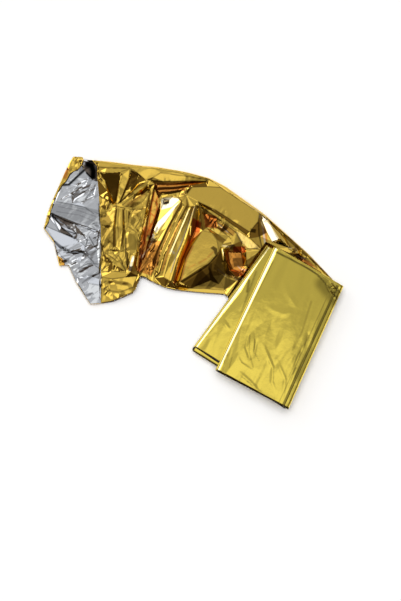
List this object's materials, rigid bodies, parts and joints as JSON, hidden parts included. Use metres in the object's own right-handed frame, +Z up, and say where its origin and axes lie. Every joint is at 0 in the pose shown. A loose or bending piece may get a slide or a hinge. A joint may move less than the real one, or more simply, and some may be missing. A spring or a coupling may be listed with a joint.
{
  "type": "emergency foil blanket",
  "caption": "Emergency foil blanket, part opened: a crumpled folded strip of gold and silver metallised film that ends in a flat zigzag packet.",
  "frame": {"origin": "middle of the bounding box in X and Y, on the surface that the blanket lies on", "axes": "+X runs from the strip's open, silver end towards the folded packet, +Y runs away from the packet's open edges towards the strip's folded long edge, +Z is up"},
  "size_m": [0.2834, 0.2489, 0.0145],
  "materials": {
    "metallised_film": "12 micron polyester film with a vacuum-deposited metal layer, mirror-bright and finely creased: gold on the outer side, silver on the inner side"
  },
  "bodies": {
    "root": {"foil_blanket": "metallised_film"}
  },
  "joints": []
}
